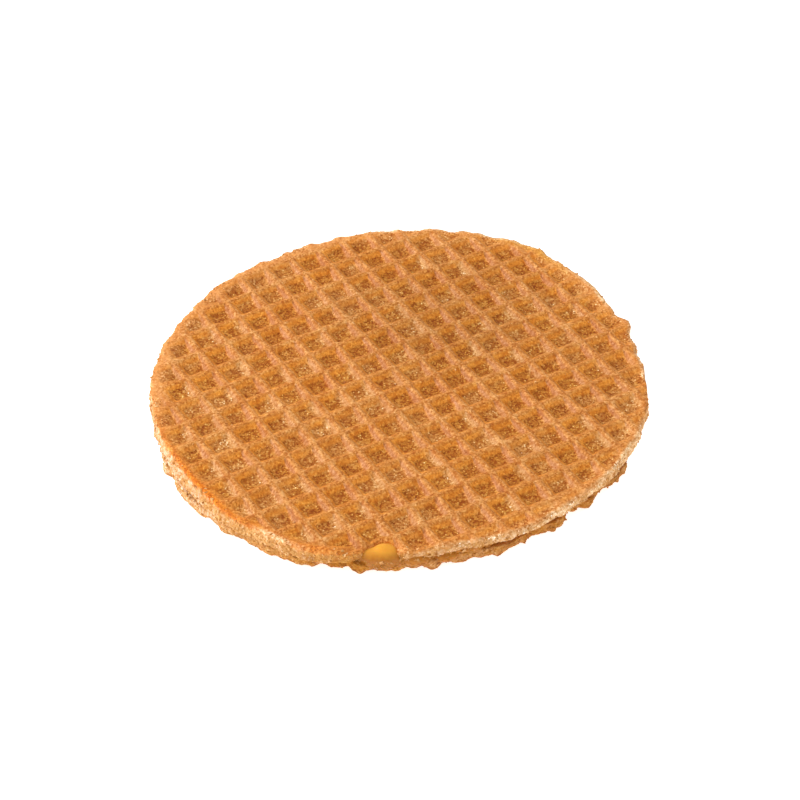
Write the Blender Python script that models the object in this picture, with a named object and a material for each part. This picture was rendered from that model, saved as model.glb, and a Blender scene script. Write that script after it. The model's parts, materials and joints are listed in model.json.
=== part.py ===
"""A stroopwafel: two thin waffle discs, cut with a round cutter, with caramel syrup between them.

Metres, +Z up. The biscuit lies on the ridges of its lower wafer at Z = 0, and the Z axis runs
through the middle of its footprint. Each wafer is a disc with a grid of sloping pits pressed
into its outer face, and the syrup is a sheet that has squeezed out past the rim in a few places.
"""

import math

import bpy
import bmesh
from mathutils import Matrix, Vector

# layers, from the table up
WAFER_THICK = 0.00225
SYRUP_THICK = 0.0009
GAP = 0.0003  # air left between two pieces that touch
SYRUP_LOW = WAFER_THICK + GAP
TOP_LOW = SYRUP_LOW + SYRUP_THICK + GAP

# the cut discs
TOP_CENTRE = Vector((0.0010, 0.0002))
TOP_RADIUS = 0.0500
BOTTOM_CENTRE = Vector((-0.0014, 0.0012))
BOTTOM_RADIUS = 0.0484
SYRUP_CENTRE = Vector((-0.0004, 0.0007))
SYRUP_RADIUS = 0.0472
RIM_POINTS = 96
SHARP_ANGLE = math.radians(30.0)
# how a disc is pulled out of round: lobes around it, height, direction of the first lobe
DISC_LOBES = (
    (2, 0.00094, 81.0),
    (3, 0.00060, 57.0),
    (4, 0.00046, -24.5),
)
# short swells and dents of each rim: direction, half width in degrees, height
TOP_SWELLS = (
    (-176.0, 13.0, 0.00085),
    (-130.0, 6.0, 0.0005),
    (-111.0, 9.0, 0.0008),
    (-93.0, 13.0, -0.0014),
    (-78.0, 11.0, -0.0018),
    (-58.0, 14.0, -0.00145),
    (-42.0, 11.0, -0.0012),
    (63.0, 8.0, 0.0005),
)
BOTTOM_SWELLS = ((-136.0, 18.0, 0.0017), (-112.0, 6.0, 0.0014), (-30.0, 11.0, 0.0027))
SYRUP_SWELLS = ((-112.0, 10.0, 0.0012), (-90.0, 12.0, 0.0014))

# the waffle grid
CELL_PITCH = 0.00612
GRID_TURN = math.radians(29.7)
PIT_DEPTH = 0.0011
PIT_MOUTH = Vector((0.75, 0.90))  # share of a cell, along the grid's first and second axis
PIT_FLOOR = Vector((0.42, 0.66))
CUTTER_RISE = 0.0002  # how far a cutter stands out of the face it cuts
TOP_GRID_PHASE = Vector((0.54, 0.15))  # a pit's centre from the disc's centre, in cells
BOTTOM_GRID_PHASE = Vector((0.50, 0.50))

# syrup squeezed out past the rim: direction, distance of its middle from the top disc's centre,
# height of its middle, and its half sizes along the rim, outwards and upwards
SYRUP_BULGES = (
    ("blob", -95.6, 0.0486, 0.0034, (0.0040, 0.0029, 0.0026)),
    ("drip", -113.0, 0.0484, 0.0027, (0.0036, 0.0024, 0.0018)),
    ("smear", -86.0, 0.0486, 0.0024, (0.0032, 0.0021, 0.0014)),
)
BULGE_SEGMENTS = 14
BULGE_RINGS = 8

WAFER_TOP_COLOUR = (0.62, 0.30, 0.10, 1.0)
WAFER_BOTTOM_COLOUR = (0.55, 0.27, 0.10, 1.0)
SYRUP_COLOUR = (0.60, 0.28, 0.05, 1.0)


def clear_scene():
    for thing in list(bpy.data.objects):
        bpy.data.objects.remove(thing, do_unlink=True)


def new_collection(name):
    collection = bpy.data.collections.new(name)
    bpy.context.scene.collection.children.link(collection)
    return collection


def new_material(name, colour, roughness):
    material = bpy.data.materials.new(name)
    material.use_nodes = True
    shader = material.node_tree.nodes["Principled BSDF"]
    shader.inputs["Base Color"].default_value = colour
    shader.inputs["Roughness"].default_value = roughness
    shader.inputs["Metallic"].default_value = 0.0
    return material


def wafer_material(name, colour):
    return new_material(name, colour, roughness=0.55)


def syrup_material():
    return new_material("syrup", SYRUP_COLOUR, roughness=0.22)


def swell(turn, middle, half_width):
    """1 at the middle direction, falling smoothly to nothing about twice the half width away."""
    away = (turn - middle + 180.0) % 360.0 - 180.0
    return math.exp(-((away / half_width) ** 2))


def rim_radius(turn, radius, swells):
    """The disc's radius in a direction given in degrees."""
    for lobes, height, direction in DISC_LOBES:
        radius += height * math.cos(math.radians(lobes * (turn - direction)))
    for middle, half_width, height in swells:
        radius += height * swell(turn, middle, half_width)
    return radius


def rim_points(radius, swells):
    turns = [360.0 * i / RIM_POINTS for i in range(RIM_POINTS)]
    radii = [rim_radius(turn, radius, swells) for turn in turns]
    return [
        Vector((r * math.cos(math.radians(turn)), r * math.sin(math.radians(turn))))
        for turn, r in zip(turns, radii)
    ]


def smooth_rim(mesh):
    mesh.shade_smooth()
    mesh.set_sharp_from_angle(angle=SHARP_ANGLE)


def disc(name, collection, centre, radius, swells, low, thick):
    """A flat disc with the outline above, from a filled curve made into a mesh."""
    curve = bpy.data.curves.new(name + "_outline", "CURVE")
    curve.dimensions = "2D"
    curve.fill_mode = "BOTH"
    curve.extrude = thick / 2
    points = rim_points(radius, swells)
    spline = curve.splines.new("POLY")
    spline.points.add(len(points) - 1)
    for spot, point in zip(spline.points, points):
        spot.co = (point.x, point.y, 0.0, 1.0)
    spline.use_cyclic_u = True
    drawn = bpy.data.objects.new(name + "_outline", curve)
    drawn.location = (centre.x, centre.y, low + thick / 2)
    collection.objects.link(drawn)
    bpy.context.view_layer.update()

    evaluated = drawn.evaluated_get(bpy.context.evaluated_depsgraph_get())
    mesh = bpy.data.meshes.new_from_object(evaluated)
    mesh.name = name
    bm = bmesh.new()
    bm.from_mesh(mesh)
    bmesh.ops.remove_doubles(bm, verts=bm.verts, dist=0.00001)
    bmesh.ops.recalc_face_normals(bm, faces=bm.faces)
    bm.to_mesh(mesh)
    bm.free()
    smooth_rim(mesh)

    solid = bpy.data.objects.new(name, mesh)
    solid.matrix_world = drawn.matrix_world.copy()
    collection.objects.link(solid)
    bpy.data.objects.remove(drawn)
    return solid


def hide_cutter(thing):
    thing.hide_render = True
    thing.display_type = "WIRE"


def boolean(solid, other, operation):
    modifier = solid.modifiers.new(other.name, "BOOLEAN")
    modifier.operation = operation
    modifier.solver = "EXACT"
    modifier.object = other


def pit_frame(cell, phase, face):
    """Where a cell's pit is: turned with the grid, its open side towards +Z of its own frame."""
    across = Matrix.Rotation(GRID_TURN, 2) @ Vector((cell.x + phase.x, cell.y + phase.y))
    place = Matrix.Translation((across.x * CELL_PITCH, across.y * CELL_PITCH, 0.0))
    turned = place @ Matrix.Rotation(GRID_TURN, 4, "Z")
    return turned if face > 0 else turned @ Matrix.Scale(-1.0, 4, Vector((0.0, 0.0, 1.0)))


def add_pit(bm, frame):
    """A block that narrows downwards: its wide end is the pit's mouth, carried on a little."""
    slope = (PIT_MOUTH - PIT_FLOOR) / PIT_DEPTH
    ends = (PIT_FLOOR, PIT_MOUTH + slope * CUTTER_RISE)
    heights = (-PIT_DEPTH, CUTTER_RISE)
    made = bmesh.ops.create_cube(bm, size=1.0)["verts"]
    for vert in made:
        wide = vert.co.z > 0
        size = ends[wide] * CELL_PITCH
        spot = Vector((vert.co.x * size.x, vert.co.y * size.y, heights[wide]))
        vert.co = frame @ spot


def pit_cutter(name, collection, centre, radius, phase, face, height):
    """Every pit of one wafer's outer face, as one set of separate blocks."""
    bm = bmesh.new()
    reach = math.ceil(radius / CELL_PITCH) + 1
    for column in range(-reach, reach + 1):
        for row in range(-reach, reach + 1):
            middle = Vector((column + phase.x, row + phase.y))
            if middle.length * CELL_PITCH > radius + CELL_PITCH:
                continue
            add_pit(bm, pit_frame(Vector((column, row)), phase, face))
    bmesh.ops.recalc_face_normals(bm, faces=bm.faces)
    mesh = bpy.data.meshes.new(name)
    bm.to_mesh(mesh)
    bm.free()
    cutter = bpy.data.objects.new(name, mesh)
    cutter.location = (centre.x, centre.y, height)
    collection.objects.link(cutter)
    hide_cutter(cutter)
    return cutter


def bulge(name, collection, direction, reach, height, half_sizes, grow):
    """One rounded squeeze of syrup, grown on every side by a clearance."""
    bm = bmesh.new()
    bmesh.ops.create_uvsphere(bm, u_segments=BULGE_SEGMENTS, v_segments=BULGE_RINGS, radius=1.0)
    along, outward, upward = (size + grow for size in half_sizes)
    bmesh.ops.scale(bm, vec=(outward, along, upward), verts=bm.verts)
    mesh = bpy.data.meshes.new(name)
    bm.to_mesh(mesh)
    bm.free()
    mesh.shade_smooth()
    thing = bpy.data.objects.new(name, mesh)
    turn = math.radians(direction)
    thing.location = (
        TOP_CENTRE.x + reach * math.cos(turn),
        TOP_CENTRE.y + reach * math.sin(turn),
        height,
    )
    thing.rotation_euler = (0.0, 0.0, turn)
    collection.objects.link(thing)
    hide_cutter(thing)
    return thing


def make_wafer_top(parts, cutters):
    wafer = disc(
        "wafer_top", parts, TOP_CENTRE, TOP_RADIUS, TOP_SWELLS, TOP_LOW, WAFER_THICK
    )
    pits = pit_cutter(
        "top_pits", cutters, TOP_CENTRE, TOP_RADIUS, TOP_GRID_PHASE, 1, TOP_LOW + WAFER_THICK
    )
    boolean(wafer, pits, "DIFFERENCE")
    wafer.data.materials.append(wafer_material("wafer_top", WAFER_TOP_COLOUR))
    return wafer


def make_wafer_bottom(parts, cutters):
    wafer = disc(
        "wafer_bottom", parts, BOTTOM_CENTRE, BOTTOM_RADIUS, BOTTOM_SWELLS, 0.0, WAFER_THICK
    )
    pits = pit_cutter(
        "bottom_pits", cutters, BOTTOM_CENTRE, BOTTOM_RADIUS, BOTTOM_GRID_PHASE, -1, 0.0
    )
    boolean(wafer, pits, "DIFFERENCE")
    wafer.data.materials.append(wafer_material("wafer_bottom", WAFER_BOTTOM_COLOUR))
    return wafer


def make_syrup(parts):
    syrup = disc(
        "syrup", parts, SYRUP_CENTRE, SYRUP_RADIUS, SYRUP_SWELLS, SYRUP_LOW, SYRUP_THICK
    )
    syrup.data.materials.append(syrup_material())
    return syrup


def squeeze_out_syrup(syrup, wafers, cutters):
    """Each bulge joins the syrup, and the wafers give way to it with a gap all round."""
    for name, direction, reach, height, half_sizes in SYRUP_BULGES:
        place = (direction, reach, height, half_sizes)
        boolean(syrup, bulge(name, cutters, *place, 0.0), "UNION")
        room = bulge(name + "_room", cutters, *place, GAP)
        for wafer in wafers:
            boolean(wafer, room, "DIFFERENCE")


def main():
    clear_scene()
    parts = new_collection("stroopwafel")
    cutters = new_collection("cutters")
    wafer_top = make_wafer_top(parts, cutters)
    wafer_bottom = make_wafer_bottom(parts, cutters)
    syrup = make_syrup(parts)
    squeeze_out_syrup(syrup, (wafer_top, wafer_bottom), cutters)


main()
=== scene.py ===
import json
import math

import bmesh
import bpy
import numpy as np
from mathutils import Matrix, Vector
from mathutils import noise as mathNoise


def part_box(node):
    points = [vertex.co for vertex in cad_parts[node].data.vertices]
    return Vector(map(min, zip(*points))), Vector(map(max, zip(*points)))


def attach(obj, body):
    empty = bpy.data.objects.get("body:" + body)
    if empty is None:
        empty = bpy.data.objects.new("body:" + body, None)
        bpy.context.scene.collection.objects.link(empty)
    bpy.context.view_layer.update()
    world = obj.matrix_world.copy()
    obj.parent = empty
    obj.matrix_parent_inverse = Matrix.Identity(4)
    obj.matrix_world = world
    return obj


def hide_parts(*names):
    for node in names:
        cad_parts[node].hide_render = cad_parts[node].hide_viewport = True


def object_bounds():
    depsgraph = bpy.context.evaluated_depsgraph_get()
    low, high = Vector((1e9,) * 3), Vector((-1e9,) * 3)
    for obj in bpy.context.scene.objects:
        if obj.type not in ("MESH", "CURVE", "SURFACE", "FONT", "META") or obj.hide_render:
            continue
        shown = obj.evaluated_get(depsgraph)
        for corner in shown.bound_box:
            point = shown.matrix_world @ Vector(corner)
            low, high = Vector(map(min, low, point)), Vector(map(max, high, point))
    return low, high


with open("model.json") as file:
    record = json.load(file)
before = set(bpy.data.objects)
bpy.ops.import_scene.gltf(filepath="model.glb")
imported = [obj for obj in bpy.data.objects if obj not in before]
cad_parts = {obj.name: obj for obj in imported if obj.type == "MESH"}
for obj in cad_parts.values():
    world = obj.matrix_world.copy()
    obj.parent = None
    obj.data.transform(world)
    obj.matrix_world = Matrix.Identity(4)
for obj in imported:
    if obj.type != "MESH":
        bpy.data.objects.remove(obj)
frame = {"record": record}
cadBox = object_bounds()
print("frame loaded")

# where the layers lie, from the CAD solids
topLow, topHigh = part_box("wafer_top")
bottomLow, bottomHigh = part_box("wafer_bottom")
seamHeight = (topLow.z + bottomHigh.z) / 2
restFace = next(m for m in frame["record"]["mounts"] if m["kind"] == "flat_face")
bottomCentre = Vector(restFace["pos_m"][:2])
topCentre = bottomCentre + Vector((0.0024, -0.0010))  # the upper wafer lies a little askew on the lower

# the waffle iron's grid, shared by both wafers
iron = {
    "pitch": 0.00612,
    "turn": 29.7,  # degrees from +X to the direction across the wide ridges
    "stretch": (1.009, 0.991),  # along X and Y
    "wideCrest": 0.03,  # flat tops of the ridges, in cells
    "thinCrest": 0.03,
    "leftWall": 0.27,  # run of the slopes in cells: to the left and to the right of a wide ridge
    "rightWall": 0.31,
    "thinWall": 0.33,
    "slant": 0.7,  # how much the slopes that face left widen toward the near end of a pit
    "thinDrop": 0.04,  # how much lower the thin ridges are, share of the pit depth
    "pitDepth": 0.00130,
    "depthSpread": 0.25,  # the shallowest pits lack this share of the depth
    "ragged": 0.10,  # how far the ridges' edges wander, in cells
    "rimBand": 0.0036,  # the pits run out over this width
    "rimShare": 0.45,  # depth that is left right at the rim
}
boxMargin = 0.00001  # every point stays this far inside the CAD's box


# helpers for node trees and objects

def addNode(tree, kind, inputs=None, **settings):
    node = tree.nodes.new(kind)
    for name, value in settings.items():
        setattr(node, name, value)
    for name, value in (inputs or {}).items():
        if isinstance(value, bpy.types.NodeSocket):
            tree.links.new(value, node.inputs[name])
        else:
            node.inputs[name].default_value = value
    return node


def calc(tree, operation, *values, clamp=False):
    inputs = dict(enumerate(values))
    return addNode(tree, "ShaderNodeMath", inputs, operation=operation, use_clamp=clamp).outputs[0]


def chained(tree, operation):
    # a function that joins any number of values by one operation
    def join(first, *others):
        for value in others:
            first = calc(tree, operation, first, value)
        return first
    return join


def vectorCalc(tree, operation, *values):
    inputs = dict(enumerate(values))
    node = addNode(tree, "ShaderNodeVectorMath", inputs, operation=operation)
    return node.outputs["Value" if operation == "DISTANCE" else "Vector"]


def scaled(tree, vector, factor):
    return addNode(tree, "ShaderNodeVectorMath", {0: vector, "Scale": factor}, operation="SCALE").outputs[0]


def split(tree, vector):
    return addNode(tree, "ShaderNodeSeparateXYZ", {0: vector}).outputs


def ramp(tree, value, low, high, outLow=0.0, outHigh=1.0, smooth=True):
    kind = "SMOOTHSTEP" if smooth else "LINEAR"
    inputs = {"Value": value, 1: low, 2: high, 3: outLow, 4: outHigh}
    return addNode(tree, "ShaderNodeMapRange", inputs, interpolation_type=kind).outputs[0]


def noise(tree, vector, size, detail=2.0, rough=0.5, seed=0.0, output="Fac"):
    scale = calc(tree, "DIVIDE", 1.0, size) if isinstance(size, bpy.types.NodeSocket) else 1.0 / size
    inputs = {"Vector": vector, "W": seed, "Scale": scale, "Detail": detail, "Roughness": rough}
    return addNode(tree, "ShaderNodeTexNoise", inputs, noise_dimensions="4D").outputs[output]


def mixColour(tree, factor, first, second):
    node = addNode(tree, "ShaderNodeMix", {"Factor": factor}, data_type="RGBA")
    for socket, value in zip((node.inputs[6], node.inputs[7]), (first, second)):
        if isinstance(value, bpy.types.NodeSocket):
            tree.links.new(value, socket)
        else:
            socket.default_value = (*value, 1.0)
    return node.outputs[2]


def addSockets(tree, way, **kinds):
    # kinds: the names of the sockets of each kind, in order
    for kind, names in kinds.items():
        for name in names:
            tree.interface.new_socket(name=name, in_out=way, socket_type="NodeSocket" + kind)


def finishTree(tree, shaped, material):
    shaped = addNode(tree, "GeometryNodeRealizeInstances", {"Geometry": shaped}).outputs[0]
    shaped = addNode(tree, "GeometryNodeSetMaterial", {"Geometry": shaped, "Material": material}).outputs[0]
    tree.links.new(shaped, tree.nodes.new("NodeGroupOutput").inputs[0])


def shapeByNodes(thing, tree, values):
    # runs a node tree on an object and leaves a plain mesh; the input "Pit Depth" takes values["pitDepth"]
    modifier = thing.modifiers.new(tree.name, "NODES")
    modifier.node_group = tree
    for item in tree.interface.items_tree:
        key = item.name[0].lower() + item.name[1:].replace(" ", "")
        if item.in_out == "INPUT" and key in values:
            modifier[item.identifier] = values[key]
    depsgraph = bpy.context.evaluated_depsgraph_get()
    made = bpy.data.meshes.new_from_object(thing.evaluated_get(depsgraph), preserve_all_data_layers=True,
                                           depsgraph=depsgraph)
    thing.modifiers.remove(modifier)
    thing.data = made
    made.name = thing.name
    return thing


def newObject(name, data):
    thing = bpy.data.objects.new(name, data)
    bpy.context.scene.collection.objects.link(thing)
    return thing


# the discs' outline

roundness = {
    "lobes": ((2, 0.00094, 81.0), (3, 0.00060, 57.0), (4, 0.00046, -24.5)),  # count, height, direction
}
topRim = {
    "centre": topCentre,
    "radius": 0.0500,
    "swells": (  # direction and half width in degrees, height
        (-176, 13, 0.0006), (-130, 6, 0.0005), (-111, 9, 0.0008), (-93, 13, -0.0014), (-78, 11, -0.0018),
        (-58, 14, -0.00145), (-42, 11, -0.0012), (-27, 8, -0.0006), (-5, 6, 0.0005), (20, 2.5, 0.0012),
        (28, 8, -0.0005), (44, 6, -0.0003), (57, 5, 0.0009), (66, 4, 0.0002), (104, 4, 0.0006),
        (115, 5, 0.0006), (130, 5, 0.0005), (143, 4, 0.0003), (154, 6, -0.0004),
    ),
    "grown": 0.00010,  # the whole rim stands this far outside the radius
}
bottomRim = {
    "centre": bottomCentre,
    "radius": 0.0484,
    "swells": (
        (-136, 18, 0.0017), (-30, 11, 0.0027),  # two broad ledges, then teeth and notches
        (-161, 3, -0.0006), (-158, 1.8, 0.0003), (-153.5, 2, 0.0006), (-150.5, 1.6, -0.0004),
        (-135, 3, -0.0004), (-127, 3, 0.0004), (-116.5, 3.6, 0.0010), (-109.8, 3.2, 0.0021),
        (-101.5, 1.5, 0.0012), (-96.6, 2.2, 0.0013), (-90, 4, 0.0003), (-85.5, 1.4, 0.0006),
        (-81.3, 2.4, 0.0004), (-78.3, 1.2, -0.0004), (-76, 16, 0.0006), (-74, 1.5, -0.0002),
        (-71.8, 1.6, -0.0006), (-64.2, 4.6, 0.0013), (-57.2, 1.8, -0.0004), (-51.6, 3.2, 0.0016),
        (-46.3, 1.6, -0.0006), (-41.7, 2.2, 0.0014), (-37.6, 1.6, -0.0005), (-34, 1.6, 0.0005),
        (-28, 3, 0.0006),
    ),
    "grown": 0.00010,  # the whole rim stands this far outside the radius
}
syrupRim = {
    "centre": (topCentre + bottomCentre) / 2,
    "radius": 0.0472,
    "swells": ((-112, 10, 0.0012), (-94, 7, 0.0010), (-70, 15, 0.0013), (-42, 14, 0.0013)),
    "grown": 0.0,
}


def swellSum(turns, swells):
    # soft humps around the rim
    total = 0.0 * turns
    for middle, halfWidth, height in swells:
        away = (turns - middle + 180.0) % 360.0 - 180.0
        total = total + height * np.exp(-((away / halfWidth) ** 2))
    return total


def rimRadius(turns, rim):
    # turns in degrees, one number or an array
    radius = rim["radius"] + rim["grown"] + swellSum(turns, rim["swells"])
    for count, height, direction in roundness["lobes"]:
        radius = radius + height * np.cos(np.radians(count * (turns - direction)))
    return radius


# a flat disc ruled with the iron's grid

blankSizes = {
    "rimStep": 0.00032,
    "margin": 0.00030,  # flat triangles join the grid to the rim over this width
    "sideRows": 9,
    "undersideRings": (0.0004, 0.0010, 0.0020, 0.0036, 0.0060),
}


def keepInside(thing):
    # no point leaves the CAD's box
    mesh = thing.data
    places = np.zeros(len(mesh.vertices) * 3)
    mesh.vertices.foreach_get("co", places)
    low, high = (np.array(corner) for corner in cadBox)
    places = np.clip(places.reshape(-1, 3), low + boxMargin, high - boxMargin)
    mesh.vertices.foreach_set("co", places.ravel())
    mesh.update()


def gridMatrix():
    # from cells, counted from the disc's centre, to metres
    turn = Matrix.Rotation(math.radians(iron["turn"]), 2)
    stretch = Matrix(((iron["stretch"][0], 0.0), (0.0, iron["stretch"][1])))
    return stretch @ turn * iron["pitch"]


def ruledLines(reach, crest, wall, parts, phase):
    # grid lines in cells, closer together where the relief bends
    crestParts, wallParts, floorParts = parts
    half = crest / 2
    cell = list(np.linspace(-half, half, crestParts + 1))
    cell += list(np.linspace(half, half + wall, wallParts + 1)[1:])
    cell += list(np.linspace(half + wall, 1 - half - wall, floorParts + 1)[1:])
    cell += list(np.linspace(1 - half - wall, 1 - half, wallParts + 1)[1:-1])
    first = phase + 0.5  # a ridge lies half a cell from the pit's middle
    return np.array(sorted(first + n + x for n in range(-reach, reach + 1) for x in cell))


def turnOf(spot):
    # direction from the disc's centre, in degrees
    return math.degrees(math.atan2(spot.y, spot.x))


def ruledFace(bm, wafer, rim):
    # the grid's quads inside the rim, joined to a fine ring along it; returns the ring's edges
    toMetres = np.array(gridMatrix())
    reach = math.ceil(rim["radius"] / iron["pitch"]) + 1
    across = ruledLines(reach, iron["wideCrest"], iron["leftWall"], wafer["wideParts"], wafer["phase"][0])
    along = ruledLines(reach, iron["thinCrest"], iron["thinWall"], wafer["thinParts"], wafer["phase"][1])
    spots = np.stack(np.meshgrid(across, along, indexing="ij"), -1) @ toMetres.T
    turns = np.degrees(np.arctan2(spots[..., 1], spots[..., 0]))
    inside = np.hypot(spots[..., 0], spots[..., 1]) < rimRadius(turns, rim) - blankSizes["margin"]
    corners = {}
    quads = inside[:-1, :-1] & inside[1:, :-1] & inside[1:, 1:] & inside[:-1, 1:]
    for i, j in np.argwhere(quads):
        face = []
        for key in ((i, j), (i + 1, j), (i + 1, j + 1), (i, j + 1)):
            if key not in corners:
                corners[key] = bm.verts.new((*spots[key], 0.0))
            face.append(corners[key])
        bm.faces.new(face)
    gridEdge = [edge for edge in bm.edges if edge.is_boundary]

    count = round(2 * math.pi * rim["radius"] / blankSizes["rimStep"])
    turns = 360.0 * np.arange(count) / count
    ring = [
        bm.verts.new((r * math.cos(math.radians(t)), r * math.sin(math.radians(t)), 0.0))
        for t, r in zip(turns, rimRadius(turns, rim))
    ]
    rimEdge = [bm.edges.new((ring[n - 1], ring[n])) for n in range(count)]
    bmesh.ops.triangle_fill(bm, edges=gridEdge + rimEdge, use_beauty=True, normal=(0, 0, 1))
    return rimEdge


def ruledDisc(wafer, rim, thick):
    bm = bmesh.new()
    rimEdge = ruledFace(bm, wafer, rim)
    inset = bm.verts.layers.float.new("inset")  # distance in from the rim
    down = bm.verts.layers.float.new("down")  # 0 on the face, up to 1 down the cut side, 2 underneath
    for vert in bm.verts:
        vert[inset] = max(0.0, float(rimRadius(turnOf(vert.co), rim)) - vert.co.length)

    def thickHere(vert):
        return thick - float(swellSum(turnOf(vert.co), wafer["thinner"]))

    def nextRow():
        made = bmesh.ops.extrude_edge_only(bm, edges=rimEdge)["geom"]
        points = [part for part in made if isinstance(part, bmesh.types.BMVert)]
        edges = [part for part in made if isinstance(part, bmesh.types.BMEdge)]
        fresh = set(points)
        return points, [edge for edge in edges if all(vert in fresh for vert in edge.verts)]

    rows = blankSizes["sideRows"]
    for row in range(1, rows + 1):
        points, rimEdge = nextRow()
        for vert in points:
            vert.co.z = -thickHere(vert) * row / rows
            vert[down] = row / rows
    for reachIn in blankSizes["undersideRings"]:
        points, rimEdge = nextRow()
        for vert in points:
            radius = float(rimRadius(turnOf(vert.co), rim)) - reachIn
            flat = Vector((vert.co.x, vert.co.y)).normalized() * radius
            vert.co = (flat.x, flat.y, -thickHere(vert))
            vert[inset] = reachIn
            vert[down] = 2.0
    bmesh.ops.contextual_create(bm, geom=rimEdge)
    bmesh.ops.recalc_face_normals(bm, faces=bm.faces)

    mesh = bpy.data.meshes.new(wafer["name"])
    bm.to_mesh(mesh)
    bm.free()
    places = np.zeros(len(mesh.vertices) * 3)
    mesh.vertices.foreach_get("co", places)
    places = places.reshape(-1, 3)
    cell = np.zeros_like(places)
    toCells = np.linalg.inv(np.array(gridMatrix()))
    cell[:, :2] = places[:, :2] @ toCells.T - np.array(wafer["phase"])  # whole numbers at the pits' middles
    layer = mesh.attributes.new("cell", "FLOAT_VECTOR", "POINT")
    layer.data.foreach_set("vector", cell.ravel())
    turns = np.degrees(np.arctan2(places[:, 1], places[:, 0]))
    for name in wafer["places"]:
        layer = mesh.attributes.new(name, "FLOAT", "POINT")
        layer.data.foreach_set("value", np.clip(swellSum(turns, wafer[name]), 0.0, 1.0))
    mesh.shade_smooth()
    return mesh


# the node tree that presses the waffle relief and roughs up the cut rim

pressSizes = {
    "crossing": 0.35,  # how softly the ridges run into each other
    # how far in from the rim each change reaches
    "dentFall": 0.0042,
    "dentPull": 0.0055,
    "bead": (0.0010, 0.0034),
    "shut": 0.0020,
    "crumbs": 0.0014,
    "rounding": 0.0011,
    "still": 0.0060,  # the ridges don't sway nearer the rim
    # sizes of the noise
    "raggedSize": 0.0030,
    "waveSize": 0.0140,
    "lumpSize": 0.0028,
    "grainSize": 0.0009,
    "chunkSize": 0.0026,
    "crumbSize": 0.0008,
}


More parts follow.
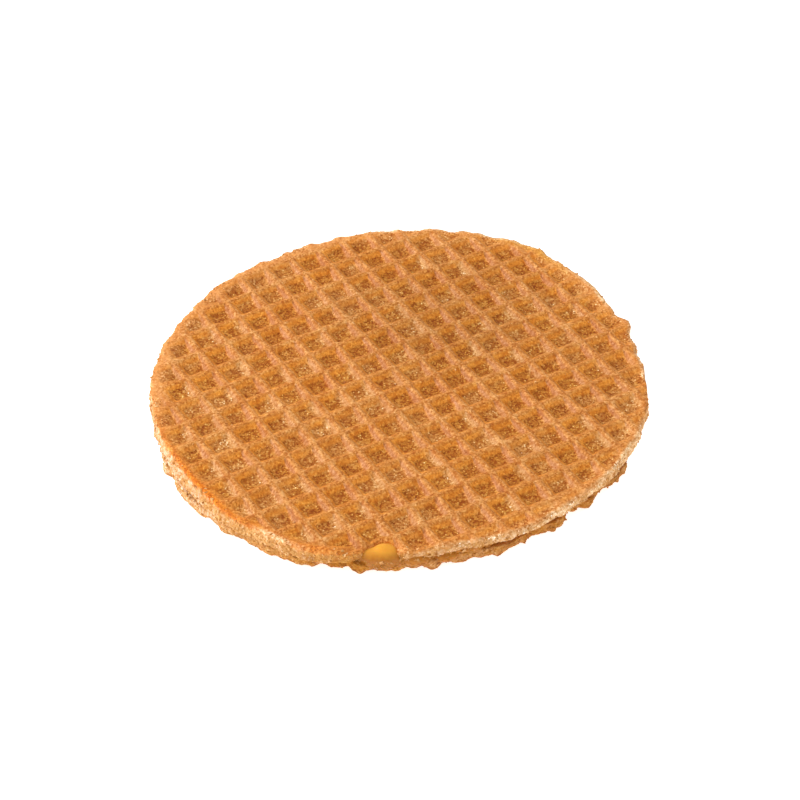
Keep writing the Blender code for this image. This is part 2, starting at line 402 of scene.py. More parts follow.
def buildPressTree():
    sizes = pressSizes
    tree = bpy.data.node_groups.new("pressWafer", "GeometryNodeTree")
    addSockets(tree, "INPUT", Geometry=("Blank",), Float=(
        "Wide Crest", "Left Wall", "Right Wall", "Slant", "Thin Crest", "Thin Wall", "Thin Drop",
        "Pit Depth", "Depth Spread", "Ragged", "Rim Band", "Rim Share", "Sway", "Sway Size", "Waviness",
        "Grain", "Crumble", "Scallop", "Edge Round", "Dent Depth", "Dent Pull", "Seed",
    ), Material=("Material",))
    addSockets(tree, "OUTPUT", Geometry=("Wafer",))
    product, total = chained(tree, "MULTIPLY"), chained(tree, "ADD")
    given = tree.nodes.new("NodeGroupInput").outputs
    place = addNode(tree, "GeometryNodeInputPosition").outputs[0]
    seed = given["Seed"]

    def attribute(name, kind="FLOAT"):
        node = addNode(tree, "GeometryNodeInputNamedAttribute", {"Name": name}, data_type=kind)
        return node.outputs["Attribute"]

    inset, down, cell = attribute("inset"), attribute("down"), attribute("cell", "FLOAT_VECTOR")
    dent, shut = attribute("dent"), attribute("shut")

    # the relief, 1 on the crests and 0 on the pit floors, with edges that wander
    whole = vectorCalc(tree, "FLOOR", vectorCalc(tree, "ADD", cell, (0.5, 0.5, 0.5)))
    fromPit = vectorCalc(tree, "SUBTRACT", cell, whole)
    signed = split(tree, fromPit)
    away = split(tree, vectorCalc(tree, "ABSOLUTE", fromPit))
    coarse = split(tree, noise(tree, place, sizes["raggedSize"], 2.0, 0.6, seed, "Color"))
    toWide = calc(tree, "SUBTRACT", 0.5, away["X"])
    toThin = calc(tree, "SUBTRACT", 0.5, away["Y"])
    toWide = total(toWide, product(calc(tree, "SUBTRACT", coarse["X"], 0.5), given["Ragged"], 2.0))
    toThin = total(toThin, product(calc(tree, "SUBTRACT", coarse["Y"], 0.5), given["Ragged"], 1.6))
    wideHalf = product(given["Wide Crest"], 0.5)
    thinHalf = product(given["Thin Crest"], 0.5)
    onLeft = calc(tree, "GREATER_THAN", signed["X"], 0.0)
    slant = calc(tree, "SUBTRACT", 1.0, product(onLeft, signed["Y"], given["Slant"]))
    run = product(onLeft, calc(tree, "SUBTRACT", given["Left Wall"], given["Right Wall"]))
    run = product(total(run, given["Right Wall"]), slant)
    wide = ramp(tree, toWide, wideHalf, total(wideHalf, run), 1.0, 0.0)
    thin = ramp(tree, toThin, thinHalf, total(thinHalf, given["Thin Wall"]), 1.0, 0.0)
    worn = total(given["Thin Drop"], product(calc(tree, "SUBTRACT", coarse["Z"], 0.5), 0.25))
    thin = product(thin, calc(tree, "SUBTRACT", 1.0, worn))
    relief = calc(tree, "SMOOTH_MAX", wide, thin, sizes["crossing"])
    bead = product(attribute("bead"), ramp(tree, inset, *sizes["bead"], 1.0, 0.0))
    relief = calc(tree, "SMOOTH_MAX", relief, bead, sizes["crossing"])
    relief = calc(tree, "MINIMUM", relief, 1.0)

    # how deep each pit is, and how it runs out toward the rim
    cellShade = addNode(tree, "ShaderNodeTexWhiteNoise", {"Vector": whole, "W": seed},
                        noise_dimensions="4D").outputs["Value"]
    shallow = calc(tree, "SUBTRACT", 1.0, product(cellShade, given["Depth Spread"]))
    share = calc(tree, "MINIMUM", total(given["Rim Share"], attribute("openRim")), 1.0)
    shutMost = product(shut, 0.8)
    band = product(given["Rim Band"], total(1.0, shutMost))
    share = product(share, calc(tree, "SUBTRACT", 1.0, shutMost))
    runOut = ramp(tree, inset, product(shut, sizes["shut"]), band, share, 1.0)
    depth = product(given["Pit Depth"], shallow, runOut)
    pressed = product(depth, calc(tree, "SUBTRACT", 1.0, relief))

    # everything that sinks the face: pits, waves, lumps, the rounded edge and the dent
    waves = product(noise(tree, place, sizes["waveSize"], 1.0, 0.5, seed), given["Waviness"])
    lumps = product(noise(tree, place, sizes["lumpSize"], 2.0, 0.6, seed), given["Grain"], 1.6)
    grain = product(noise(tree, place, sizes["grainSize"], 2.0, 0.6, seed), given["Grain"])
    edge = product(given["Edge Round"], ramp(tree, inset, 0.0, sizes["rounding"], 1.0, 0.0), 0.6)
    fallen = product(dent, ramp(tree, inset, 0.0, sizes["dentFall"], 1.0, 0.0), given["Dent Depth"])
    fall = total(pressed, waves, lumps, grain, edge, fallen)
    fall = product(fall, ramp(tree, down, 0.0, 1.0, 1.0, 0.0, smooth=False))
    sink = addNode(tree, "ShaderNodeCombineXYZ", {"Z": product(fall, -1.0)}).outputs[0]

    # the ridges sway a little, and stay put at the rim
    swing = noise(tree, place, given["Sway Size"], 1.0, 0.5, seed, "Color")
    swing = vectorCalc(tree, "SUBTRACT", swing, (0.5, 0.5, 0.5))
    swing = vectorCalc(tree, "MULTIPLY", swing, (1.0, 1.0, 0.0))
    swing = scaled(tree, swing, product(ramp(tree, inset, 0.0, sizes["still"]), given["Sway"], 4.0))

    # the cut side crumbles, is rounded at its upper edge, and is notched where the pits reach it
    nearRim = ramp(tree, inset, 0.0, sizes["crumbs"], 1.0, 0.0)
    outward = vectorCalc(tree, "NORMALIZE", vectorCalc(tree, "MULTIPLY", place, (1.0, 1.0, 0.0)))
    big = noise(tree, place, sizes["chunkSize"], 3.0, 0.65, seed)
    small = noise(tree, place, sizes["crumbSize"], 2.0, 0.6, seed)
    rough = total(product(big, 1.8), product(small, 1.4), -1.68)
    rough = product(rough, given["Crumble"], ramp(tree, down, 0.0, 0.35, 0.65, 1.0))
    flare = product(attribute("flare"), ramp(tree, down, 0.25, 1.0), 0.001)
    notch = product(calc(tree, "SUBTRACT", relief, 1.0), given["Scallop"])
    rounded = product(given["Edge Round"], ramp(tree, down, 0.0, 0.40, -1.0, 0.0))
    push = product(total(rough, notch, rounded, flare), nearRim)
    pulled = ramp(tree, inset, 0.0, sizes["dentPull"], 1.0, 0.0, smooth=False)
    pulled = product(dent, pulled, given["Dent Pull"])
    push = scaled(tree, outward, calc(tree, "SUBTRACT", push, pulled))

    offset = vectorCalc(tree, "ADD", vectorCalc(tree, "ADD", sink, swing), push)
    inputs = {"Geometry": given["Blank"], "Offset": offset}
    shaped = addNode(tree, "GeometryNodeSetPosition", inputs).outputs[0]
    stored = {
        "relief": relief, "cellShade": cellShade, "wideRidge": wide,
        "across": signed["X"], "along": signed["Y"],
    }
    for name, value in stored.items():
        inputs = {"Geometry": shaped, "Name": name, "Value": value}
        shaped = addNode(tree, "GeometryNodeStoreNamedAttribute", inputs, data_type="FLOAT",
                         domain="POINT").outputs[0]
    finishTree(tree, shaped, given["Material"])
    return tree


# materials

def newMaterial(name, roughness, specular):
    material = bpy.data.materials.new(name)
    material.use_nodes = True
    tree = material.node_tree
    shader = tree.nodes["Principled BSDF"]
    shader.inputs["Roughness"].default_value = roughness
    shader.inputs["Specular IOR Level"].default_value = specular
    return material, tree, shader


def buildGrainGroup():
    # baked batter: a tone round zero, from tiny grains with light and dark dots among them, and a height
    tree = bpy.data.node_groups.new("bakedGrain", "ShaderNodeTree")
    addSockets(tree, "INPUT", Vector=("Vector",), Float=("Size", "Sparkle", "Pores", "Seed"))
    addSockets(tree, "OUTPUT", Float=("Tone", "Height"))
    product, total = chained(tree, "MULTIPLY"), chained(tree, "ADD")
    given = tree.nodes.new("NodeGroupInput").outputs
    scale = calc(tree, "DIVIDE", 1.0, given["Size"])

    # each dot has its own brightness; the light ones are pale grains and painted glints
    inputs = {"Vector": given["Vector"], "Scale": scale, "Randomness": 1.0}
    dots = addNode(tree, "ShaderNodeTexVoronoi", inputs)
    own = addNode(tree, "ShaderNodeSeparateColor", {0: dots.outputs["Color"]}).outputs
    core = ramp(tree, dots.outputs["Distance"], 0.18, 0.52, 1.0, 0.0)
    light = product(core, ramp(tree, own["Red"], 0.55, 0.95), given["Sparkle"])
    dark = product(core, ramp(tree, own["Green"], 0.50, 0.95), given["Pores"])
    tone = product(calc(tree, "SUBTRACT", own["Blue"], 0.5), 1.9)
    # fine and coarse cloudiness: size against the grain's, roughness, seed, amount
    for size, rough, seed, amount in ((1.2, 0.7, 1.0, 3.6), (4.5, 0.6, 5.0, 2.3)):
        inputs = {"Vector": given["Vector"], "W": total(given["Seed"], seed), "Detail": 2.0,
                  "Scale": product(scale, 1.0 / size), "Roughness": rough}
        cloud = addNode(tree, "ShaderNodeTexNoise", inputs, noise_dimensions="4D").outputs["Fac"]
        tone = total(tone, product(calc(tree, "SUBTRACT", cloud, 0.5), amount))
    tone = calc(tree, "SUBTRACT", total(tone, light), dark)
    out = tree.nodes.new("NodeGroupOutput")
    tree.links.new(tone, out.inputs["Tone"])
    tree.links.new(product(tone, 0.5), out.inputs["Height"])
    return tree


def toned(tree, colour, tone, reach):
    # darker one way, paler the other: each channel is multiplied by its own reach to the power of the tone
    shares = [calc(tree, "POWER", share, tone) for share in reach]
    factors = addNode(tree, "ShaderNodeCombineXYZ", dict(zip("XYZ", shares))).outputs[0]
    return vectorCalc(tree, "MULTIPLY", colour, factors)


crustLook = {
    "crest": (0.625, 0.236, 0.052),
    "thinCrest": (0.600, 0.214, 0.037),
    "leftSlope": (0.530, 0.204, 0.070),  # pinkish, a painted sheen on the slopes that face the light
    "slope": (0.810, 0.286, 0.033),  # deep orange on the far and the left walls of the pits: the crust's orange, deepened as painted shade
    "floor": (0.440, 0.140, 0.0155),
    # paler patches of the crust, and a painted sheen on some pits' right walls, which face the light
    "pale": (0.660, 0.340, 0.115),
    "rim": (0.690, 0.245, 0.045),
    "smoothRim": (0.830, 0.350, 0.105),  # where the pits run out early
    "edgeLine": (0.700, 0.180, 0.010),
    "lip": (0.800, 0.360, 0.055),  # a smooth yellowish stretch
    "reach": (1.45, 1.96, 3.10),  # how the grains' tone moves each channel
    "cream": (0.800, 0.490, 0.285),
    "flour": (0.950, 0.610, 0.300),  # the palest crumb, partly painted light for the cut sides the lamp leaves in shade
    "tan": (0.610, 0.290, 0.085),
    "brown": (0.380, 0.140, 0.024),
    "amber": (0.490, 0.175, 0.012),
    "darkSpot": (0.010, 0.020, 0.006),  # painted shade: the face is darker round here
    # how far in from the rim each finish reaches
    "rimReach": 0.0038,
    "smoothReach": 0.0048,
    "edgeLineReach": (0.0006, 0.0020),
    "lipReach": (0.0008, 0.0030),
    "bareReach": (0.0002, 0.0013),
    # sizes of the patches, and of the bits in the cut side
    "patchSize": 0.0080,
    "flakeSize": 0.0016,
    "unevenSize": 0.0045,
    "skinSize": 0.0012,
    "bitSize": 0.0010,
    "tanSize": 0.0024,
    "grainSize": 0.00036,
    "sparkle": (1.9, 0.7),  # pale grains and painted glints, on the pit floors and on the crests
    "pores": (0.9, 0.6),
    "contrast": 0.95,
    "bumpStrength": 0.6,
    "bumpDepth": 0.00016,
    "roughness": 0.50,
    "specular": 0.12,
}
undersideLook = dict(crustLook, cream=(0.820, 0.510, 0.290), rim=(0.460, 0.200, 0.045))


def crustMaterial(name, look, grainGroup, seed):
    material, tree, shader = newMaterial(name, look["roughness"], look["specular"])
    product, total = chained(tree, "MULTIPLY"), chained(tree, "ADD")
    place = addNode(tree, "ShaderNodeTexCoord").outputs["Object"]

    def attribute(label):
        return addNode(tree, "ShaderNodeAttribute", attribute_name=label).outputs["Fac"]

    def patches(size, nextSeed, low, high, least=0.0, most=1.0, rough=0.6):
        spots = noise(tree, place, look[size], 2.0, rough, seed + nextSeed)
        return ramp(tree, spots, low, high, least, most)

    relief, inset, down = attribute("relief"), attribute("inset"), attribute("down")
    cellShade, wideRidge = attribute("cellShade"), attribute("wideRidge")
    across, along = attribute("across"), attribute("along")
    grain = addNode(tree, "ShaderNodeGroup", {
        "Vector": place, "Size": look["grainSize"], "Seed": seed,
        "Sparkle": ramp(tree, relief, 0.0, 0.6, *look["sparkle"]),
        "Pores": ramp(tree, relief, 0.0, 0.6, *look["pores"]),
    }, node_tree=grainGroup).outputs

    # floor, slopes and crests; a pinker painted sheen on the slopes that face left, toward the light
    leftSheen = product(ramp(tree, across, -0.05, 0.15), ramp(tree, wideRidge, 0.08, 0.45))
    crest = mixColour(tree, ramp(tree, wideRidge, 0.02, 0.55), look["thinCrest"], look["crest"])
    # painted shade: the far walls and the left walls, which get little of the light, take the deeper orange
    left = ramp(tree, across, -0.30, -0.10, 0.8, 0.0)
    shadedWalls = calc(tree, "MAXIMUM", ramp(tree, along, -0.15, 0.10), left)
    wall = mixColour(tree, shadedWalls, crest, look["slope"])
    colour = mixColour(tree, ramp(tree, relief, 0.08, 0.45), look["floor"], wall)
    colour = mixColour(tree, leftSheen, colour, look["leftSlope"])
    colour = mixColour(tree, ramp(tree, relief, 0.62, 0.98), colour, crest)

    # some pits have a pale right wall, a painted sheen, and paler patches run across the face
    wallSheen = product(ramp(tree, across, 0.12, 0.30), ramp(tree, relief, 0.55, 0.95, 1.0, 0.0),
                       ramp(tree, cellShade, 0.45, 1.0, 0.0, 0.60))
    palePatches = patches("patchSize", 1.0, 0.45, 0.68, 0.0, 0.25, rough=0.5)
    colour = mixColour(tree, calc(tree, "ADD", wallSheen, palePatches, clamp=True), colour, look["pale"])

    # what changes near the rim
    colour = mixColour(tree, ramp(tree, inset, 0.0, look["rimReach"], 0.70, 0.0), colour, look["rim"])
    smooth = product(attribute("shut"), ramp(tree, inset, 0.0, look["smoothReach"], 0.9, 0.0))
    colour = mixColour(tree, smooth, colour, look["smoothRim"])
    line = ramp(tree, inset, *look["edgeLineReach"], 1.0, 0.0)
    line = calc(tree, "MULTIPLY", attribute("edgeLine"), line, clamp=True)
    colour = mixColour(tree, line, colour, look["edgeLine"])
    lip = product(attribute("lip"), ramp(tree, inset, *look["lipReach"], 0.9, 0.0))
    colour = mixColour(tree, lip, colour, look["lip"])
    flaked = calc(tree, "ADD", patches("flakeSize", 6.0, 0.42, 0.54), attribute("bare"), clamp=True)
    bare = product(attribute("bare"), ramp(tree, inset, *look["bareReach"], 1.0, 0.0), flaked,
                   patches("unevenSize", 9.0, 0.36, 0.56, 0.35, 1.0))
    colour = mixColour(tree, bare, colour, look["flour"])

    # painted shade: the pits darken toward their near and far ends, and a little to the left
    toEnds = product(calc(tree, "ABSOLUTE", along), 0.20)
    paintedShade = calc(tree, "SUBTRACT", product(across, 0.08), toEnds)
    paintedShade = product(paintedShade, ramp(tree, relief, 0.1, 0.6, 1.0, 0.0))
    colour = scaled(tree, colour, total(paintedShade, 1.0))
    # painted shade: the face darkens round one spot
    toShadeSpot = vectorCalc(tree, "DISTANCE", place, look["darkSpot"])
    colour = scaled(tree, colour, ramp(tree, toShadeSpot, 0.004, 0.030, 0.90, 1.02))

    # the grain is strong on the pit floors, weak on the slopes and calm where the rim is smooth
    contrast = total(ramp(tree, relief, 0.08, 0.40, 1.15, 0.60), ramp(tree, relief, 0.7, 0.95, 0.0, 0.2))
    calm = calc(tree, "SUBTRACT", 1.0, product(calc(tree, "MAXIMUM", smooth, lip), 0.5))
    tone = calc(tree, "MINIMUM", grain["Tone"], product(grain["Tone"], 0.88))
    colour = toned(tree, colour, product(tone, product(contrast, look["contrast"], calm)), look["reach"])

    # the cut side goes from orange skin to pale crumb, speckled brown, and is soaked amber in places
    wander = noise(tree, place, look["skinSize"], 2.0, 0.6, seed)
    depthIn = total(down, product(calc(tree, "SUBTRACT", wander, 0.5), 0.45))
    bits = noise(tree, place, look["bitSize"], 3.0, 0.7, seed + 2.0)
    tanShare = total(ramp(tree, bits, 0.42, 0.60, 0.0, 0.6), patches("tanSize", 4.0, 0.45, 0.62, 0.0, 0.6))
    tanShare = calc(tree, "ADD", tanShare, attribute("tan"), clamp=True)
    # painted light: the crumb is painted paler on the right and at the right front, sides the lamp leaves in
    # shade
    pale = mixColour(tree, attribute("floury"), look["cream"], look["flour"])
    crumb = mixColour(tree, tanShare, pale, look["tan"])
    atSeam = ramp(tree, depthIn, 0.60, 0.95, 0.0, 0.07)
    brownShare = ramp(tree, total(bits, atSeam), 0.60, 0.70, 0.0, 0.85)
    crumb = mixColour(tree, brownShare, crumb, look["brown"])
    soak = product(attribute("soak"), ramp(tree, bits, 0.35, 0.60, 1.0, 0.78))
    crumb = mixColour(tree, soak, crumb, look["amber"])
    crumb = toned(tree, crumb, product(grain["Tone"], 0.5), look["reach"])
    colour = mixColour(tree, ramp(tree, depthIn, 0.02, 0.40), colour, crumb)

    bump = addNode(tree, "ShaderNodeBump", {
        "Height": grain["Height"], "Strength": look["bumpStrength"], "Distance": look["bumpDepth"],
    })
    tree.links.new(colour, shader.inputs["Base Color"])
    tree.links.new(bump.outputs[0], shader.inputs["Normal"])
    rough = total(look["roughness"], ramp(tree, depthIn, 0.05, 0.35, 0.0, 0.3))
    tree.links.new(rough, shader.inputs["Roughness"])
    return material


caramelLook = {
    "clear": (0.82, 0.36, 0.036),
    "dark": (0.46, 0.155, 0.010),
    "milky": (0.40, 0.135, 0.016),
    "blob": (-0.0037, -0.0480, 0.0040),  # milky round its foot
    "milkyReach": (0.0035, 0.0060),
    "clearAbove": (0.0036, 0.0052),  # heights between which the caramel clears
    "cloudsBelow": (0.0034, 0.0050),
    "wrinklesBelow": (0.0038, 0.0050),
    "cloudSize": 0.0014,
    "wrinkleSize": 0.0011,
    "wrinkleDepth": 0.0003,
    "roughness": 0.32,
    "specular": 0.20,
    "subsurface": 0.35,
    "subsurfaceRadius": (1.0, 0.45, 0.12),
    "subsurfaceScale": 0.0012,
}


def caramelMaterial():
    look = caramelLook
    material, tree, shader = newMaterial("caramel", look["roughness"], look["specular"])
    product = chained(tree, "MULTIPLY")
    place = addNode(tree, "ShaderNodeTexCoord").outputs["Object"]
    height = split(tree, place)["Z"]
    toBlob = vectorCalc(tree, "DISTANCE", place, look["blob"])
    amber = mixColour(tree, ramp(tree, toBlob, *look["milkyReach"]), look["milky"], look["dark"])
    low = ramp(tree, height, *look["clearAbove"], 1.0, 0.0)
    colour = mixColour(tree, product(low, 0.9), look["clear"], amber)
    clouds = ramp(tree, noise(tree, place, look["cloudSize"], 3.0, 0.6, 4.0), 0.38, 0.62)
    clouds = product(clouds, ramp(tree, height, *look["cloudsBelow"], 0.8, 0.1))
    colour = mixColour(tree, clouds, colour, look["dark"])
    bump = addNode(tree, "ShaderNodeBump", {
        "Height": noise(tree, place, look["wrinkleSize"], 2.0, 0.5, 7.0),
        "Strength": ramp(tree, height, *look["wrinklesBelow"], 0.9, 0.15),
        "Distance": look["wrinkleDepth"],
    })
    tree.links.new(colour, shader.inputs["Base Color"])
    tree.links.new(bump.outputs[0], shader.inputs["Normal"])
    shader.inputs["Subsurface Weight"].default_value = look["subsurface"]
    shader.inputs["Subsurface Radius"].default_value = look["subsurfaceRadius"]
    shader.inputs["Subsurface Scale"].default_value = look["subsurfaceScale"]
    return material


grainGroup = buildGrainGroup()
topCrust = crustMaterial("toastedCrust", crustLook, grainGroup, 0.0)
bottomCrust = crustMaterial("undersideCrust", undersideLook, grainGroup, 5.0)
caramel = caramelMaterial()
print("materials ready")


# the two wafers

topWafer = {
    "name": "waferTopCrust",
    "places": ("openRim", "shut", "bead", "dent", "flare", "soak", "tan", "floury", "lip", "crumbly",
               "edgeLine", "bare"),
    "phase": (0.560, 0.150),  # a pit's middle from the disc's centre, in cells
    "wideParts": (1, 7, 4),  # steps over a wide ridge's crest, a slope, and the pit floor between
    "thinParts": (1, 6, 5),
    "sway": 0.00028,
    "swaySize": 0.013,
    "waviness": 0.00022,
    "grain": 0.00010,
    "crumble": 0.00065,
    "scallop": 0.00030,  # how far the rim draws in at the pits
    "edgeRound": 0.00018,
    "dentDepth": 0.0022,  # the caramel has pushed the rim down and back
    "dentPull": 0.0024,
    "seamGap": 0.00010,
    "seed": 3.0,
    # by direction round the rim, with the half width in degrees
    # the side is this much lower, with the caramel thicker below it
    "thinner": ((-62, 22, 0.0010), (-35, 18, 0.0004), (-150, 34, -0.0003), (-112, 14, -0.0002)),
    "openRim": ((-108, 24, 0.6),),  # the pits stay deep up to the rim
    # they run out further in
    "shut": ((150, 34, 0.7), (-178, 12, 0.6), (104, 18, 0.5), (48, 24, 0.6), (-52, 26, 0.4)),
    "bead": ((-118, 7, 1.0), (-106, 5, 1.0), (-140, 14, 0.8)),  # a ridge closes them
    "edgeLine": ((-141, 18, 1.0), (-112, 9, 0.6)),  # an orange line along the edge
    # the skin has flaked off
    "bare": ((9, 8, 1.0), (34, 8, 0.8), (78, 40, 0.7), (-26, 10, 0.8), (-50, 20, 0.7), (-74, 8, 0.6),
             (-118, 5, 0.9)),
    "dent": ((-96, 3.6, 1.0),),
    "flare": ((-150, 16, 0.8), (-130, 12, 0.4)),  # the side leans out to the lower wafer, in mm
    "soak": ((-103, 6, 0.8), (-90, 4, 0.5), (-80, 6, 0.2), (-111, 4, 0.15)),  # caramel has soaked in
    "tan": ((-126, 12, 0.75), (-100, 16, 0.6)),
    # painted light: the cut side is painted paler here
    "floury": ((-52, 30, 0.7), (10, 40, 1.0)),
    "lip": ((56, 10, 1.0),),
    # more loose crumbs lie here
    "crumbly": ((-92, 3, 1.0), (-117, 4, 1.0), (-103, 9, 0.7), (-74, 10, 0.7), (20, 14, 1.0), (85, 50, 0.7),
                (128, 30, 0.9), (165, 20, 0.6), (-145, 12, 0.3)),
}
bottomWafer = dict(
    topWafer, name="waferBottomCrust", phase=(0.50, 0.50), seed=11.0, crumble=0.0009, edgeRound=0.00025,
    wideParts=(2, 3, 4), thinParts=(2, 3, 5), thinner=(),
    openRim=((-45, 45, 0.7), (90, 50, 0.4)), shut=(), bead=(), dent=(), flare=(), edgeLine=(), bare=(),
    soak=((-50, 40, 1.0), (-100, 16, 0.85)), tan=((-122, 14, 0.6), (-104, 14, 0.5)), floury=(), lip=(),
    crumbly=((-60, 30, 0.5), (-145, 12, 0.8)),
)


def pressWafer(wafer, rim, tree, material, face, thick, turnedOver):
    thing = newObject(wafer["name"], ruledDisc(wafer, rim, thick))
    shapeByNodes(thing, tree, dict(iron, **wafer, material=material))
    highest = max(vert.co.z for vert in thing.data.vertices)
    thing.data.transform(Matrix.Translation((0.0, 0.0, -highest)))  # the highest ridges lie in the plane
    if turnedOver:
        thing.data.transform(Matrix.Scale(-1.0, 4, Vector((0.0, 0.0, 1.0))))
        thing.data.flip_normals()
    thing.data.transform(Matrix.Translation((rim["centre"].x, rim["centre"].y, face)))
    keepInside(thing)
    return thing


pressTree = buildPressTree()
topThick = topHigh.z - seamHeight - topWafer["seamGap"]
bottomThick = seamHeight - bottomLow.z - bottomWafer["seamGap"]
upper = pressWafer(topWafer, topRim, pressTree, topCrust, topHigh.z, topThick, False)
lower = pressWafer(bottomWafer, bottomRim, pressTree, bottomCrust, bottomLow.z, bottomThick, True)
print("wafers pressed:", len(upper.data.polygons), len(lower.data.polygons), "faces")


# the caramel between them, with what has squeezed out

caramelSizes = {
    "overlap": 0.00035,  # how far the layer reaches into each wafer
    "steps": 720,
    "edgeRows": 8,
    "bulge": 0.0006,
    "wobble": 0.0005,  # slow waves of the edge
    "rough": 0.0005,
    "voxel": 0.00018,
    "smoothing": 40,
}
# direction, distance from the upper disc's centre, height, half sizes along, out and up, tilt down
squeezed = (
    (-94.4, 0.0478, 0.0042, (0.0025, 0.0018, 0.0010), 28.0),
    (-95.8, 0.0482, 0.0035, (0.0043, 0.0018, 0.0013), 12.0),
    (-95.8, 0.0480, 0.0025, (0.0050, 0.0020, 0.0018), 0.0),
    (-109.5, 0.0484, 0.0026, (0.0030, 0.0022, 0.0020), 10.0),
    (-87.5, 0.0474, 0.0027, (0.0036, 0.0020, 0.0016), 0.0),
    (-81.0, 0.0470, 0.0025, (0.0030, 0.0020, 0.0013), 0.0),
    (-104.0, 0.0470, 0.0027, (0.0060, 0.0017, 0.0014), 0.0),
)


def edgePoint(row, step):
    # a point on the layer's rounded edge, rows from the underside up
    sizes = caramelSizes
    half = topWafer["seamGap"] + sizes["overlap"]
    swing = math.pi * (row / sizes["edgeRows"] - 0.5)
    turn = 360.0 * step / sizes["steps"]
    radius = float(rimRadius(turn, syrupRim)) + sizes["bulge"] * (math.cos(swing) - 1.0)
    radius += sizes["wobble"] * math.sin(math.radians(turn * 7 + 40 * math.sin(math.radians(turn * 3))))
    radius += sizes["rough"] * mathNoise.noise(Vector((turn * 0.9, row * 1.3, 0.0)))
    spot = Vector((math.cos(math.radians(turn)), math.sin(math.radians(turn)))) * radius + syrupRim["centre"]
    thicker = max(0.0, float(swellSum(turn, topWafer["thinner"])))
    height = seamHeight + half * math.sin(swing) + thicker * (0.5 + 0.5 * math.sin(swing))
    return spot.x, spot.y, height


def caramelLayer():
    bm = bmesh.new()
    rows = [
        [bm.verts.new(edgePoint(row, step)) for step in range(caramelSizes["steps"])]
        for row in range(caramelSizes["edgeRows"] + 1)
    ]
    for low, high in zip(rows, rows[1:]):
        for n in range(len(low)):
            bm.faces.new((low[n - 1], low[n], high[n], high[n - 1]))
    bm.faces.new(rows[-1])
    bm.faces.new(list(reversed(rows[0])))
    bmesh.ops.recalc_face_normals(bm, faces=bm.faces)
    mesh = bpy.data.meshes.new("caramelFilling")
    bm.to_mesh(mesh)
    bm.free()
    mesh.shade_smooth()
    mesh.materials.append(caramel)
    return newObject("caramelFilling", mesh)


def caramelSqueezed():
    bm = bmesh.new()
    for direction, reach, height, halfSizes, tilt in squeezed:
        turn = math.radians(direction)
        along, outward, upward = halfSizes
        spot = topCentre + Vector((math.cos(turn), math.sin(turn))) * reach
        frameHere = (Matrix.Translation((spot.x, spot.y, height)) @ Matrix.Rotation(turn, 4, "Z")
                     @ Matrix.Rotation(math.radians(tilt), 4, "Y")
                     @ Matrix.Diagonal((outward, along, upward, 1.0)))
        bmesh.ops.create_uvsphere(bm, u_segments=32, v_segments=20, radius=1.0, matrix=frameHere)
    mesh = bpy.data.meshes.new("caramelSqueezed")
    bm.to_mesh(mesh)
    bm.free()
    thing = newObject("caramelSqueezed", mesh)
    remesh = thing.modifiers.new("join", "REMESH")
    remesh.mode = "VOXEL"
    remesh.voxel_size = caramelSizes["voxel"]
    soften = thing.modifiers.new("soften", "SMOOTH")
    soften.iterations = caramelSizes["smoothing"]
    made = bpy.data.meshes.new_from_object(thing.evaluated_get(bpy.context.evaluated_depsgraph_get()))
    thing.modifiers.clear()
    thing.data = made
    made.materials.clear()
    made.materials.append(caramel)
    made.shade_smooth()
    return thing


layer = caramelLayer()
squeeze = caramelSqueezed()
keepInside(squeeze)
print("caramel poured:", len(squeeze.data.polygons), "faces squeezed out")


# loose bits: crumbs of the cut edge and grains of sugar

footHeight = 0.0036  # crumbs lie on the squeezed caramel only below this
levelFrom = 0.8  # none lie on the filling where its normal is steeper than this
shapeCount = 4


